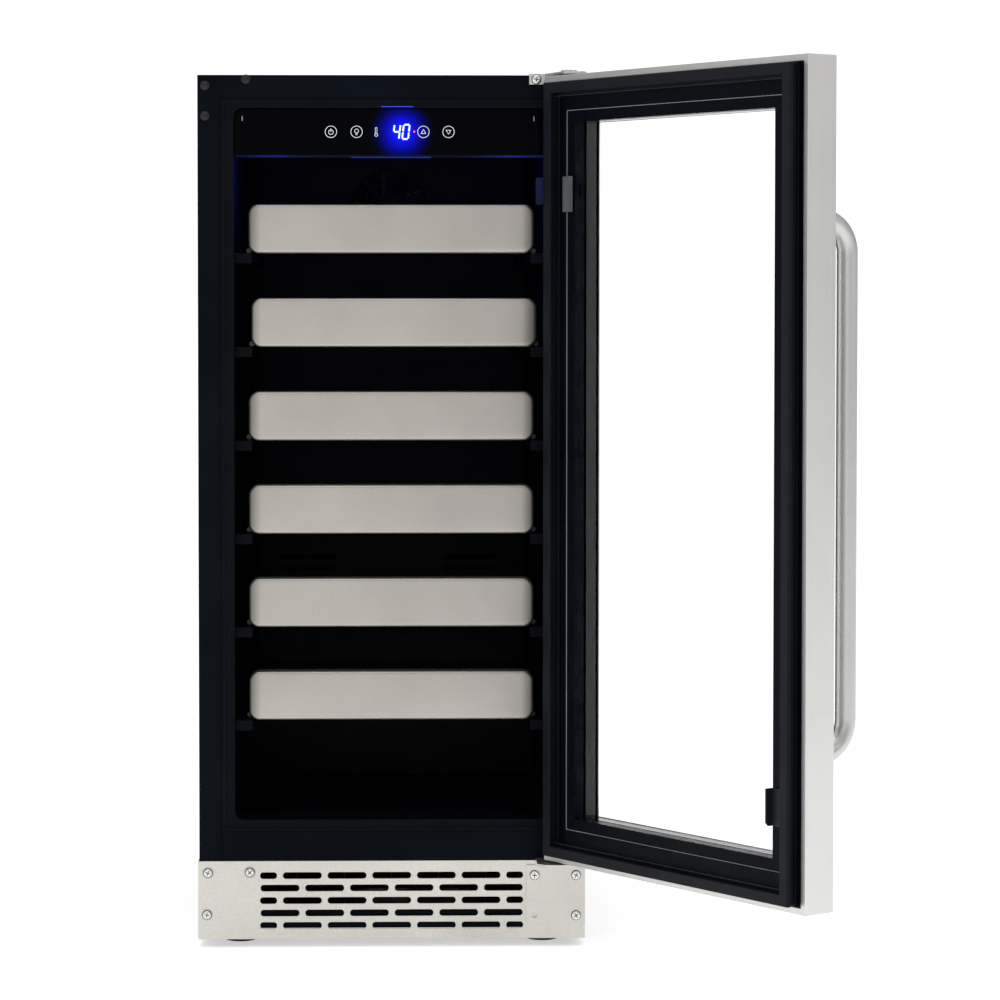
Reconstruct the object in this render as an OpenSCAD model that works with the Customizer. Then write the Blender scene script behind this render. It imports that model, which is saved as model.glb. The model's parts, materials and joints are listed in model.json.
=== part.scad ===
// Wine cooler, under-counter size, right-hand hinges, shown with its door open.
// Origin: on the floor, at the middle of the four feet. +Z up, the door side faces -Y.

/* [Cabinet] */
// Outside width of the cabinet
body_w = 377; // [350:1:460]
// Depth of the cabinet behind the door
body_d = 530; // [500:1:640]
// Height from the floor to the cabinet's top
body_h = 853; // [710:1:1030]
// Gap between the floor and the kick plate
foot_gap = 8; // [5:1:16]
// Height of the base pan above the kick plate's bottom edge
pan_lift = 10; // [10:1:16]
// Thickness of the casing's steel sheet
sheet_t = 1; // [0.8:0.1:1.4]
// Width of the casing's front flange at each side
flange_w = 21.2; // [19:0.1:25]
// Height of the casing's front flange at the top
flange_top = 22; // [19:0.5:25]
// Side wall, from the outside to the cavity
wall_side = 35.2; // [33:0.1:42]
// Top wall, from the outside to the cavity
wall_top = 32; // [30:0.5:40]
// Back wall, from the outside to the cavity
wall_back = 50; // [44:1:58]
// Thickness of the inner liner
liner_t = 2; // [1.6:0.1:2.4]

/* [Base] */
// Height of the kick plate
kick_h = 77; // [68:0.5:90]
// Height of the crossbar above the kick plate
crossbar_h = 29; // [24:0.5:36]
// Height of the liner's lip above the crossbar
floor_lip = 11.5; // [10:0.5:14]
// Height of one vent slot
slot_h = 6.3; // [5.2:0.1:7.6]
// Length of a long vent slot
slot_l = 37.8; // [32:0.1:40]
// Gap between two vent slots
slot_gap = 6; // [5:0.1:8]
// Height from one row of vent slots to the next
slot_pitch = 12.3; // [11.2:0.1:12.6]
// Height of the machine hump above the cavity's floor
hump_h = 84; // [80:1:86]
// Depth of the bottom bottle bay, from the front to the hump
bay_d = 318; // [300:1:330]
// Radius of a foot's pad
pad_r = 15; // [12:0.5:18]
// Distance from the cabinet's edge to a foot's axis, front and back
foot_inset = 45; // [40:1:60]

/* [Door] */
// Thickness of the door without its seal
door_t = 33.4; // [31:0.1:38]
// Gap between the cabinet and the closed door
door_gap = 12; // [11:0.1:14]
// Angle at which the door stands open
door_open = 125; // [90:1:130]
// Width of the stainless frame around the window
border = 45.5; // [44:0.1:54]
// Width of the frame's lip on the inside
lip_w = 6.3; // [5:0.1:7]
// Thickness of the door frame's sheet
frame_t = 1.2; // [1:0.1:1.5]
// Distance from the hinge edge to the pivot
pivot_in = 17; // [16:0.1:18.5]
// Distance from the door's inside to the pivot
pivot_deep = 16.5; // [15.5:0.1:18]
// Radius of the hinge pins
pin_r = 4; // [3.5:0.1:4.5]
// Length of the handle from end to end
handle_l = 498; // [300:1:560]
// Height of the handle's middle below the door's middle
handle_drop = 3.5; // [0:0.5:40]
// Radius of the handle's tube
handle_r = 9.4; // [8:0.1:11.3]
// Distance from the door's face to the middle of the tube
handle_off = 41.5; // [36:0.5:50]

/* [Shelves] */
// Gap between the cavity's side wall and the end of a shelf's front rail
rail_gap = 13; // [11:0.5:17]
// Height of a shelf's front rail
front_h = 48; // [40:0.5:52]
// Depth of a shelf's front rail
front_d = 22; // [18:0.5:26]
// Distance from the cabinet's front to the rails
front_back = 16; // [14:0.5:20]
// Height of the bottom bay, below the lowest rail
bay_bottom = 96; // [96:0.5:112]
// Height of the gap between the control panel and the highest rail
bay_top = 47.5; // [40:0.5:60]
// Diameter of the bottles that the racks are made for
bottle_d = 76; // [70:1:82]
// Width from one bottle to the next
bottle_pitch = 102; // [86:1:104]
// Length of a rack behind its front rail
rack_l = 380; // [340:1:385]

/* [Controls] */
// Height of the control panel
panel_h = 45.4; // [40:0.1:48]
// Depth of the control panel's housing
panel_d = 60; // [50:1:70]
// Distance from the cabinet's front to the control panel
panel_back = 8; // [7:0.5:12]
// Radius of the evaporator fan's blades
fan_r = 40; // [34:1:44]
// Radius of the condenser fan's blades
cool_fan_r = 44; // [38:1:48]

/* [Hidden] */
$fn = 48;

// Clearances
run = 0.05;    // round pins in their bores, on the radius
slide = 0.3;   // shelf rods on their ribs
seat = 0.2;    // pieces that are set into each other
seal_gap = 0.6; // between the seal and the cabinet, door closed

// Cabinet planes
half_w = body_w / 2;
y_front = -body_d / 2;
y_rear = body_d / 2;
kick_top = foot_gap + kick_h;
bar_top = kick_top + crossbar_h;

// Cavity planes
cav_x = half_w - wall_side;
cav_bottom = bar_top + floor_lip;
cav_top = body_h - wall_top;
cav_y = y_rear - wall_back;
cav_r = 9;      // corner radius of the cavity
seam = 1.8;     // groove between the casing's flange and the liner's lip
bead_w = 4;     // raised outer edge of the liner's lip
bead_t = 0.8;
lip_x = half_w - flange_w - seam;
lip_tuck = 6;   // how far the liner's lip runs on behind the casing's flange
lip_top = body_h - flange_top - seam;
hump_top = cav_bottom + hump_h;
hump_y = y_front + bay_d;

// Machine compartment and the air space under the floor
foam_t = 33;    // foam above and in front of the machine compartment
room_y = hump_y + liner_t + foam_t;
room_top = hump_top - liner_t - foam_t;
pan_t = 1.5;
pan_base = foot_gap + pan_lift;
pan_z = pan_base + pan_t;
pan_edge = 17;  // height of the pan's folded front edge
inside_x = half_w - sheet_t;

// Duct along the back of the cavity
duct_d = 40;
duct_y = cav_y - duct_d;
duct_t = 2.5;
duct_x = cav_x - 6;

// Runner ribs and shelves
shelf_n = 6;
front_w = 2 * (cav_x - rail_gap);
rib_h = 10;
rib_start = 14;
top_rail_z = cav_top - panel_h - bay_top - front_h;
low_rail_z = cav_bottom + bay_bottom;
shelf_pitch = (top_rail_z - low_rail_z) / (shelf_n - 1);
shelf_shift = [0, 2.8, 0, 0, 0, 0]; // sideways play taken up by each shelf
side_rod_r = 2.5;
cross_rod_r = 1.75;
weld = 0.7;     // how far two welded rods sink into each other
rack_x = half_w - 48.3;  // clears the seal of the open door
rib_in = rack_x - 3.7;   // inner edge of the ribs, under the racks' side rods
rack_y = y_front + front_back + front_d;

// Door planes, closed
door_lift = 4;  // the door's bottom edge above the kick plate
door_z0 = kick_top + door_lift;
door_z1 = body_h - 2.8;
door_in = y_front - door_gap;
door_out = door_in - door_t;
pivot_x = half_w - pivot_in;
pivot_y = door_in - pivot_deep;
pane_t = 4;
air_gap = 12;
inner_pane_t = 3.2;
glass_in = border - 8;
step = 1.5;     // chamfered step around the window, inside
step_in = 33.7;
pane_n = door_t - frame_t - pane_t - air_gap - inner_pane_t;
seal_side = 12;
seal_end = 7;
seal_w = 10.6;
seal_h = door_gap - seal_gap;
handle_in = 30;
bend_r = 30;

// Hinges
bracket_t = 2.5;
flange_z = kick_top - 0.3;
arm_z = body_h - 1.1;
bush_r = 7;
bush_h = 14;
head_r = 4.6;

// Fans
fan_z = cav_top - 84;
fan_y = duct_y + duct_t + 4;
shaft_r = 2;
cool_x = 70;
cool_z = pan_z + cool_fan_r + 12;
cool_y = room_y + 4;

// Compressor
comp = [-85, (room_y + y_rear) / 2];
comp_r = 60;
comp_h = 132;
comp_z = pan_z + 10;

function rail_z(i) = top_rail_z - i * shelf_pitch;

// ---- shared shapes ----

// A box from its lowest to its highest corner
module slab(x0, x1, y0, y1, z0, z1)
    translate([x0, y0, z0]) cube([x1 - x0, y1 - y0, z1 - z0]);

// A rectangle with round corners, from two bars and four discs
module round_rect(x0, x1, z0, z1, r) {
    translate([x0 + r, z0]) square([x1 - x0 - 2 * r, z1 - z0]);
    translate([x0, z0 + r]) square([x1 - x0, z1 - z0 - 2 * r]);
    for (x = [x0 + r, x1 - r], z = [z0 + r, z1 - r]) translate([x, z]) circle(r);
}

// A round-cornered block that runs from y0 to y1
module round_slab(x0, x1, y0, y1, z0, z1, r)
    translate([0, y1, 0]) rotate([90, 0, 0])
        linear_extrude(y1 - y0) round_rect(x0, x1, z0, z1, r);

// Cylinders along an axis, from a start point
module rod_x(p, r, l) translate(p) rotate([0, 90, 0]) cylinder(r = r, h = l);
module rod_y(p, r, l) translate(p) rotate([-90, 0, 0]) cylinder(r = r, h = l);
module rod_z(p, r, l) translate(p) cylinder(r = r, h = l);

// A pan-head screw that points along +Y, with its head's underside at p
module pan_screw_y(p, head, shank, l) {
    rod_y(p - [0, 0.01, 0], shank, l);
    translate(p) rotate([90, 0, 0]) rotate_extrude()
        polygon([[0, 0], [head, 0], [head, 0.8], [head * 0.8, 1.9], [head * 0.45, 2.4], [0, 2.5]]);
}

// Round tube through a list of points, with a ball at each bend
module pipe(points, r) {
    for (i = [0 : len(points) - 2]) {
        d = points[i + 1] - points[i];
        turn = [0, acos(d.z / norm(d)), atan2(d.y, d.x)];
        translate(points[i]) rotate(turn) cylinder(r = r, h = norm(d));
        if (i > 0) translate(points[i]) sphere(r);
    }
}

// Everything on the door is drawn closed and swung open here
module on_door()
    translate([pivot_x, pivot_y, 0]) rotate([0, 0, door_open])
        translate([-pivot_x, -pivot_y, 0]) children();

// Part of the closed door: u0 in from every edge, from depth n0 to n1 behind the inside face
module door_slab(u0, n0, n1)
    slab(-half_w + u0, half_w - u0, door_in - n1, door_in - n0, door_z0 + u0, door_z1 - u0);

module door_ring(u0, u1, n0, n1)
    difference() {
        door_slab(u0, n0, n1);
        door_slab(u1, n0 - 1, n1 + 1);
    }

// ---- cabinet ----

screw_z = body_h - 4.2;  // top hinge screws
screw_x = half_w - 47.2; // the hinge screw nearest the middle
screw_step = 39.5;       // from there to the outer screw
top_screws = [[screw_x, screw_z], [screw_x + screw_step, screw_z - 2.2]];
plug_r = 4.6;
plug_spots = [
    [-half_w + 7.3, body_h - 10.4],
    [-screw_x, screw_z],
    [-half_w + 7.3, body_h - 39.8]
];

module outer_casing()
    color("#12161d") difference() {
        slab(-half_w, half_w, y_front, y_rear, foot_gap, body_h);
        slab(-half_w + sheet_t, half_w - sheet_t, y_front + sheet_t, y_rear + 1, foot_gap - 1,
            body_h - sheet_t);
        slab(-half_w + flange_w, half_w - flange_w, y_front - 1, y_front + sheet_t + 1,
            foot_gap - 1, body_h - flange_top);
        for (p = plug_spots) rod_y([p.x, y_front - 1, p.y], 2.5, sheet_t + 2);
        for (p = concat(top_screws, plate_screws, kick_screws))
            rod_y([p.x, y_front - 1, p.y], 2.2, sheet_t + 2);
    }

module back_panel()
    color("#8f9496") slab(-inside_x, inside_x, y_rear - sheet_t, y_rear, room_top,
        body_h - sheet_t);

louvre_n = 9;
louvre_h = 5;
louvre_x = 130;
gland_x = half_w - 40;
gland_z = pan_z + 32;
gland_r = 10;
cord_r = 4;

module machine_cover()
    color("#2a2c2e") difference() {
        slab(-inside_x, inside_x, y_rear - sheet_t, y_rear, pan_z, room_top - seat);
        for (i = [0 : louvre_n - 1])
            slab(-louvre_x, louvre_x - 30, y_rear - sheet_t - 1, y_rear + 1,
                pan_z + 24 + i * 2.4 * louvre_h, pan_z + 24 + (i * 2.4 + 1) * louvre_h);
        rod_y([gland_x, y_rear - sheet_t - 1, gland_z], gland_r + seat, sheet_t + 2);
    }

module cord_gland()
    color("#1b1b1b") difference() {
        union() {
            rod_y([gland_x, y_rear - 6, gland_z], gland_r, 10);
            rod_y([gland_x, y_rear, gland_z], gland_r + 3, 2.5);
            rod_y([gland_x, y_rear - sheet_t - 2.5, gland_z], gland_r + 3, 2.5);
        }
        rod_y([gland_x, y_rear - 10, gland_z], cord_r, 20);
    }

bar_d = 30;
tab_w = 8;   // half the width of a tab that takes a kick plate screw
module bottom_crossbar()
    color("#14171b") difference() {
        union() {
            difference() {
                slab(-lip_x, lip_x, y_front, y_front + bar_d, kick_top, bar_top - seat);
                slab(-lip_x - 1, lip_x + 1, y_front + sheet_t, y_front + bar_d + 1,
                    kick_top + sheet_t, bar_top - sheet_t - seat);
            }
            for (s = [-1, 1]) {
                slab(min(s * (lip_x - 10), s * inside_x), max(s * (lip_x - 10), s * inside_x),
                    y_front + sheet_t, y_front + 2 * sheet_t, kick_top, bar_top - seat);
                slab(s * (screw_x - 2) - tab_w, s * (screw_x - 2) + tab_w, y_front,
                    y_front + sheet_t, kick_top - 20, kick_top + 1);
            }
        }
        for (p = concat(kick_screws, plate_screws))
            rod_y([p.x, y_front - 1, p.y], 2.2, sheet_t + 2);
    }

// Outside and inside of the liner, without its wall
module cavity_shape(grow)
    difference() {
        round_slab(-cav_x - grow, cav_x + grow, y_front - (grow > 0 ? 0 : 1), cav_y + grow,
            cav_bottom - grow, cav_top + grow, cav_r + grow);
        slab(-cav_x - grow - 1, cav_x + grow + 1, hump_y + grow, cav_y + grow + 1,
            cav_bottom - grow - 1, hump_top - grow);
    }

module lip_plate(x, z0, z1, y0, y1, inset)
    slab(-x + inset, x - inset, y0, y1, z0 + inset, z1 - inset);

drain_r = 5;
drain_at = [-60, cav_y - 14];
suction_x = 100;
suction_r = 4;

module inner_liner()
    color("#0d1015") {
        difference() {
            union() {
                cavity_shape(liner_t);
                lip_plate(lip_x, bar_top, lip_top, y_front, y_front + liner_t, 0);
                slab(-lip_x - lip_tuck, lip_x + lip_tuck, y_front + sheet_t, y_front + liner_t,
                    bar_top, lip_top + lip_tuck);
                difference() {
                    lip_plate(lip_x, bar_top, lip_top, y_front - bead_t, y_front + 0.1, 0);
                    lip_plate(lip_x, bar_top, lip_top, y_front - 1, y_front + 1, bead_w);
                }
            }
            cavity_shape(0);
            rod_z([drain_at.x, drain_at.y, hump_top - liner_t - 1], drain_r + seat, liner_t + 2);
            rod_y([suction_x, cav_y - 1, coil_z0 + 20], suction_r + seat, liner_t + 2);
        }
        for (i = [0 : shelf_n - 1], s = [-1, 1]) {
            slab(min(s * rib_in, s * (cav_x + 0.5)), max(s * rib_in, s * (cav_x + 0.5)),
                y_front + rib_start, duct_y - 4, rail_z(i) - rib_h, rail_z(i));
        }
    }

module insulation_foam()
    color("#d8cfa8") difference() {
        slab(-inside_x, inside_x, y_front + liner_t, y_rear - sheet_t, kick_top + 1,
            body_h - sheet_t);
        cavity_shape(liner_t + 0.01);
        slab(-half_w, half_w, y_front, y_front + bar_d, kick_top - 1, bar_top);
        for (p = top_screws) rod_y([p.x, y_front, p.y], 2 + seat, 14);
        slab(-half_w, half_w, room_y, y_rear + 1, kick_top - 1, room_top);
        rod_z([drain_at.x, drain_at.y, room_top - 1], drain_r + seat, foam_t + 2);
        pipe(suction_path, suction_r + seat);
    }

module base_pan()
    color("#3a3d40") difference() {
        union() {
            slab(-inside_x, inside_x, y_front + 4, y_rear - sheet_t, pan_base, pan_z);
            slab(-inside_x, inside_x, y_front + 4, y_front + 4 + pan_t, pan_base, pan_z + pan_edge);
            for (x = [-foot_x, foot_x]) rod_z([x, y_front + foot_inset, pan_base], 2 * stud_r, 14);
        }
        for (x = [-foot_x, foot_x])
            rod_z([x, y_front + foot_inset, pan_base - 1], stud_r + run, 20);
        for (p = concat(kick_screws, plate_screws)) rod_y([p.x, y_front + 3, p.y], 2.2, pan_t + 2);
    }

// ---- feet ----

stud_r = 4;
foot_x = half_w - foot_inset + 6;
pad_h = 8;

module levelling_foot(s)
    color("#1c1c1c") {
        rod_z([s * foot_x, y_front + foot_inset, 0], pad_r, pad_h);
        rod_z([s * foot_x, y_front + foot_inset, pad_h - 0.1], stud_r, pan_base + 20 - pad_h);
        translate([s * foot_x, y_front + foot_inset, pad_h + 3])
            cylinder(r = 7, h = 5, center = true, $fn = 6);
    }
module front_left_foot() levelling_foot(-1);
module front_right_foot() levelling_foot(1);
module rear_feet()
    for (s = [-1, 1]) color("#1c1c1c") rod_z([s * foot_x, y_rear - foot_inset, 0], pad_r, pan_base);

// ---- kick plate ----

kick_t = 1.2;
kick_x = half_w + kick_t;
kick_y = y_front - kick_t;
slot_n = 5;         // long slots in an odd row
slot_z = 13.4;      // height of the lowest row above the plate's bottom edge
short_l = 16.4;

// One row of slots, centred: odd rows end in a short slot, even rows have one long slot more
module slot_row(z, odd) {
    n = odd ? slot_n : slot_n + 1;
    span = n * slot_l + (n - 1) * slot_gap;
    for (i = [0 : n - 1]) slot(-span / 2 + i * (slot_l + slot_gap), slot_l, z);
    if (odd) for (s = [-1, 1])
        slot(s * (span / 2 + slot_gap + short_l / 2) - short_l / 2, short_l, z);
}
module slot(x, l, z)
    round_slab(x, x + l, kick_y - 1, kick_y + kick_t + 1, z - slot_h / 2, z + slot_h / 2,
        slot_h / 2 - 0.2);

kick_screws = [
    [-half_w + 8.5, kick_top - 11.5],
    [-half_w + 49.5, kick_top - 11],
    [-half_w + 7.5, foot_gap + 24.3]
];

module kick_plate()
    color("#cfccc4") difference() {
        slab(-kick_x, kick_x, kick_y, y_front + 20, foot_gap, kick_top);
        slab(-kick_x + kick_t, kick_x - kick_t, kick_y + kick_t, y_front + 21, foot_gap - 1,
            kick_top + 1);
        for (i = [0 : 4]) slot_row(foot_gap + slot_z + i * slot_pitch, i % 2 == 0);
        for (p = kick_screws) rod_y([p.x, kick_y - 1, p.y], 2.2, kick_t + 2);
        for (p = plate_screws) rod_y([p.x, kick_y - 1, p.y], 2.2, kick_t + 2);
    }

module kick_plate_screws()
    color("#b9b9b6") for (p = kick_screws)
        pan_screw_y([p.x, kick_y, p.y], 4.2, 2, 10);

// ---- hinges ----

plate_screws = [
    [screw_x - 1.2, kick_top - 14.3],
    [screw_x + screw_step, kick_top - 14.3],
    [screw_x + screw_step, foot_gap + 23]
];
plate_y = kick_y - bracket_t;

module top_hinge_bracket()
    color("#9a9c9c") {
        difference() {
            union() {
                slab(half_w - 54.4, half_w - 0.5, y_front - bracket_t, y_front, body_h - 9.2,
                    arm_z + bracket_t);
                translate([0, 0, arm_z]) linear_extrude(bracket_t)
                    polygon([
                        [half_w - 40, y_front - 0.1], [half_w - 25, pivot_y - 8],
                        [half_w - 20, pivot_y - 12], [half_w - 6, pivot_y - 12],
                        [half_w - 0.5, pivot_y - 6], [half_w - 0.5, y_front - 0.1]
                    ]);
            }
            for (p = top_screws) rod_y([p.x, y_front - bracket_t - 1, p.y], 2.2, bracket_t + 2);
        }
        rod_z([pivot_x, pivot_y, door_z1 - bush_h + 1], pin_r, arm_z - door_z1 + bush_h - 0.5);
        rod_z([pivot_x, pivot_y, arm_z + bracket_t - 0.5], 7.8, 2.1);
    }

module bottom_hinge_bracket()
    color("#b4b2ac") {
        difference() {
            union() {
                slab(screw_x - 9, kick_x, plate_y, kick_y, foot_gap + 16, kick_top - 4.5);
                slab(screw_x, half_w - 3.5, plate_y, kick_y, kick_top - 5, flange_z + 0.5);
                translate([0, 0, flange_z]) linear_extrude(bracket_t)
                    polygon([
                        [screw_x, kick_y], [screw_x, pivot_y - 8], [screw_x + 8, pivot_y - 16.5],
                        [half_w - 3.5, pivot_y - 16.5], [half_w - 3.5, kick_y]
                    ]);
            }
            for (p = plate_screws) rod_y([p.x, plate_y - 1, p.y], 2.2, bracket_t + 2);
            rod_y([screw_x - 1.2, plate_y - 1, foot_gap + 23], 2.6, bracket_t + 2);
        }
        rod_z([pivot_x, pivot_y, flange_z + bracket_t - 0.1], pin_r,
            door_z0 + bush_h - flange_z - bracket_t - 1);
    }

module hinge_screws()
    color("#c6c6c3") {
        for (p = top_screws) pan_screw_y([p.x, y_front - bracket_t, p.y], head_r, 2, 14);
        for (p = plate_screws) pan_screw_y([p.x, plate_y, p.y], head_r, 2, 12);
    }

module hole_plugs()
    color("#16191e") for (p = plug_spots) {
        rod_y([p.x, y_front - 0.8, p.y], plug_r, 0.8);
        translate([p.x, y_front - 0.7, p.y]) rotate([90, 0, 0]) rotate_extrude()
            polygon([[0, 0], [plug_r * 0.8, 0], [plug_r * 0.6, 0.7], [0, 1]]);
        rod_y([p.x, y_front - 0.1, p.y], 2.4, 2);
    }

// ---- controls ----

panel_x = cav_x - 0.5;
panel_y = y_front + panel_back;
panel_top = cav_top - 0.3;
panel_z = cav_top - panel_h;
fascia_t = 3;
board_gap = 5;   // between the glossy front and the board behind it
digit_x = 11;   // middle of the number on the display
digit_z = panel_top - 22.2;

// Keeps a piece clear of the cavity's round corners
module in_cavity()
    intersection() {
        children();
        round_slab(-cav_x + 0.3, cav_x - 0.3, y_front, cav_y, cav_bottom, panel_top, cav_r - 0.3);
    }

module control_housing()
    color("#15171a") difference() {
        union() {
            in_cavity() slab(-panel_x, panel_x, panel_y + fascia_t, panel_y + panel_d, panel_z,
                panel_top);
            slab(-lamp_w, lamp_w, panel_y + 10, panel_y + panel_d, panel_top - 1, cav_top);
        }
        slab(-panel_x + 2, panel_x - 2, panel_y + fascia_t - 1, panel_y + panel_d - 2, panel_z + 2,
            panel_top - 2);
        slab(-lamp_w / 2, lamp_w / 2, panel_y + panel_d - 22, panel_y + panel_d - 8, panel_z - 1,
            panel_z + 3);
    }

module control_fascia()
    color("#0a0c10") {
        in_cavity() slab(-panel_x, panel_x, panel_y, panel_y + fascia_t, panel_z, panel_top);
        for (x = [-62, 62], z = [panel_z + 10, panel_top - 10])
            rod_y([x, panel_y + fascia_t - 0.1, z], 2.5, board_gap + 0.1);
    }

module control_board()
    color("#1d4d34") slab(-70, 70, panel_y + fascia_t + board_gap,
        panel_y + fascia_t + board_gap + 1.6, panel_z + 5, panel_top - 5);

module display_module()
    color("#202428") slab(digit_x - 14, digit_x + 14, panel_y + fascia_t + 0.2,
        panel_y + fascia_t + board_gap, digit_z - 10, digit_z + 10);

lamp_w = 80;
module interior_lamp()
    color("#cfe4ff") union() {
        slab(-lamp_w / 2 + seat, lamp_w / 2 - seat, panel_y + panel_d - 22 + seat,
            panel_y + panel_d - 8 - seat, panel_z - 0.6, panel_z + 2);
        slab(-lamp_w / 2 - 3, lamp_w / 2 + 3, panel_y + panel_d - 25, panel_y + panel_d - 5,
            panel_z + 2, panel_z + 6);
    }

module temperature_sensor()
    color("#22262b") round_slab(cav_x - 8, cav_x, y_front + 96, y_front + 118,
        panel_z - 46, panel_z - 18, 2);

// ---- cooling inside the cavity ----

coil_x = 104;
coil_z0 = low_rail_z + 150;
coil_z1 = coil_z0 + 200;
coil_y0 = duct_y + duct_t + 4;
coil_y1 = cav_y - 4;

// A block of plates with tubes running through and joining in bends along the X axis
module finned_coil(x, ys, zs, fins, y0, y1, z0, z1, r, colour) {
    color(colour) {
        for (i = [0 : fins - 1]) {
            fx = -x + i * 2 * x / (fins - 1);
            slab(fx - 0.4, fx + 0.4, y0, y1, z0, z1);
        }
        for (y = ys, z = zs) rod_x([-x - 8, y, z], r, 2 * x + 16);
        for (z = zs) for (s = [-1, 1])
            slab(s * (x + 8) - 2.5, s * (x + 8) + 2.5, min(ys) - r, max(ys) + r, z - r, z + r);
    }
}

module evaporator() {
    color("#c3c7c9") for (s = [-1, 1])
        slab(s * coil_x - 0.4, s * coil_x + 0.4, coil_y1 - 1, cav_y, coil_z0 + 30, coil_z0 + 60);
    finned_coil(coil_x, [coil_y0 + 8, coil_y1 - 8], [for (i = [0 : 4]) coil_z0 + 20 + i * 40], 12,
        coil_y0, coil_y1, coil_z0, coil_z1, 3.5, "#c3c7c9");
}

module evaporator_cover()
    color("#101318") difference() {
        in_cavity() slab(-duct_x, duct_x, duct_y, cav_y, hump_top, cav_top);
        slab(-duct_x + duct_t, duct_x - duct_t, duct_y + duct_t, cav_y + 1, hump_top + 4,
            cav_top - 4);
        rod_z([drain_at.x, drain_at.y, hump_top - 1], drain_r + 4, 6);
        fan_grille();
        for (i = [0 : 3], s = [-1, 1])
            slab(s * 90 - 30, s * 90 + 30, duct_y - 1, duct_y + duct_t + 1,
                coil_z0 - 60 + i * 12, coil_z0 - 55 + i * 12);
    }

// Round slots in front of the evaporator fan, broken by four spokes
module fan_grille()
    difference() {
        for (r = [14 : 8 : fan_r + 2]) difference() {
            rod_y([0, duct_y - 1, fan_z], r + 5, duct_t + 2);
            rod_y([0, duct_y - 2, fan_z], r, duct_t + 4);
        }
        for (a = [45, 135]) translate([0, duct_y, fan_z]) rotate([0, a, 0])
            cube([4 * fan_r, 4 * duct_t, 4], center = true);
    }

// A fan wheel that blows along Y: a hub, flat pitched blades and its shaft
module fan_rotor(p, hub, tip, depth, blades, shaft, shaft_l) {
    rod_y(p, hub, depth);
    rod_y(p + [0, depth - 0.1, 0], shaft, shaft_l);
    intersection() {
        rod_y(p, tip, depth);
        for (i = [0 : blades - 1])
            translate(p + [0, depth / 2, 0]) rotate([0, i * 360 / blades, 0])
                translate([0, 0, tip / 2 + hub / 2 - 1]) rotate([0, 0, 35])
                    cube([hub * 1.9, 1.6, tip - hub + 2], center = true);
    }
}

module evaporator_fan_rotor()
    color("#3c4046") fan_rotor([0, fan_y, fan_z], 11, fan_r, 10, 5, shaft_r, 14);

module evaporator_fan_motor()
    color("#2b2e33") difference() {
        union() {
            rod_y([0, fan_y + 12, fan_z], 16, cav_y - fan_y - 12);
            slab(-fan_r - 6, fan_r + 6, cav_y - 3, cav_y, fan_z - 6, fan_z + 6);
        }
        rod_y([0, fan_y + 11, fan_z], shaft_r + run, 14);
    }

// ---- machine compartment ----

cond_x = 118;
cond_y0 = y_front + foot_inset + 30;
cond_y1 = room_y - 30;
cond_z0 = pan_z + 8;
cond_z1 = kick_top - 6;

module condenser() {
    color("#1e2022") for (s = [-1, 1], y = [cond_y0, cond_y1 - 20])
        slab(s * cond_x - 4, s * cond_x + 4, y, y + 20, pan_z, cond_z0 + 1);
    finned_coil(cond_x, [for (i = [0 : 3]) cond_y0 + 30 + i * (cond_y1 - cond_y0 - 60) / 3],
        [cond_z0 + 15, cond_z1 - 15], 11, cond_y0, cond_y1, cond_z0, cond_z1, 3, "#1e2022");
}

cool_hub = 15;
module condenser_fan_rotor()
    color("#c9ccce") fan_rotor([cool_x, cool_y + 4, cool_z], cool_hub, cool_fan_r, 14, 5, shaft_r, 18);

module condenser_fan_motor()
    color("#33373a") difference() {
        union() {
            difference() {
                slab(cool_x - cool_fan_r - 8, cool_x + cool_fan_r + 8, cool_y, cool_y + 3,
                    pan_z, cool_z + cool_fan_r + 8);
                rod_y([cool_x, cool_y - 1, cool_z], cool_fan_r + 3, 5);
            }
            rod_y([cool_x, cool_y + 21, cool_z], 18, 26);
            for (s = [-1, 1]) {
                slab(cool_x + s * (cool_fan_r + 5) - 3, cool_x + s * (cool_fan_r + 5) + 3,
                    cool_y + 2.5, cool_y + 31, cool_z - 5, cool_z + 5);
                slab(min(0, s) * (cool_fan_r + 8) + cool_x, max(0, s) * (cool_fan_r + 8) + cool_x,
                    cool_y + 26, cool_y + 31, cool_z - 5, cool_z + 5);
            }
        }
        rod_y([cool_x, cool_y + 20, cool_z], shaft_r + run, 18);
    }

module compressor()
    color("#17181a") {
        translate([comp.x, comp.y, comp_z]) rotate_extrude() polygon([
            [0, 3], [comp_r - 14, 3], [comp_r - 5, 10], [comp_r, 22], [comp_r, comp_h - 34],
            [comp_r - 8, comp_h - 14], [comp_r - 28, comp_h], [0, comp_h]
        ]);
        for (sx = [-1, 1], sy = [-1, 1]) difference() {
            compressor_leg(sx, sy);
            rod_z([comp.x + sx * 52, comp.y + sy * 52, comp_z - 1], 5, 6);
        }
        rod_x([comp.x + comp_r - 2, comp.y, comp_z + 62], 14, 6);
        rod_y([tap_x, comp.y + 40, tap_z], suction_r + 1, tap_out - 40);
    }
module compressor_leg(sx, sy)
    union() {
        rod_z([comp.x + sx * 52, comp.y + sy * 52, comp_z], 10, 3);
        translate([comp.x + sx * 36, comp.y + sy * 36, comp_z + 1.5])
            rotate([0, 0, 45 * sx * sy]) cube([44, 16, 3], center = true);
    }

module compressor_grommets()
    color("#26282a") for (sx = [-1, 1], sy = [-1, 1])
        rod_z([comp.x + sx * 52, comp.y + sy * 52, pan_z], 9, comp_z - pan_z);

module relay_box()
    color("#2f3133") round_slab(comp.x + comp_r + 4, comp.x + comp_r + 30, comp.y - 22, comp.y + 22,
        comp_z + 40, comp_z + 84, 4);

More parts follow.
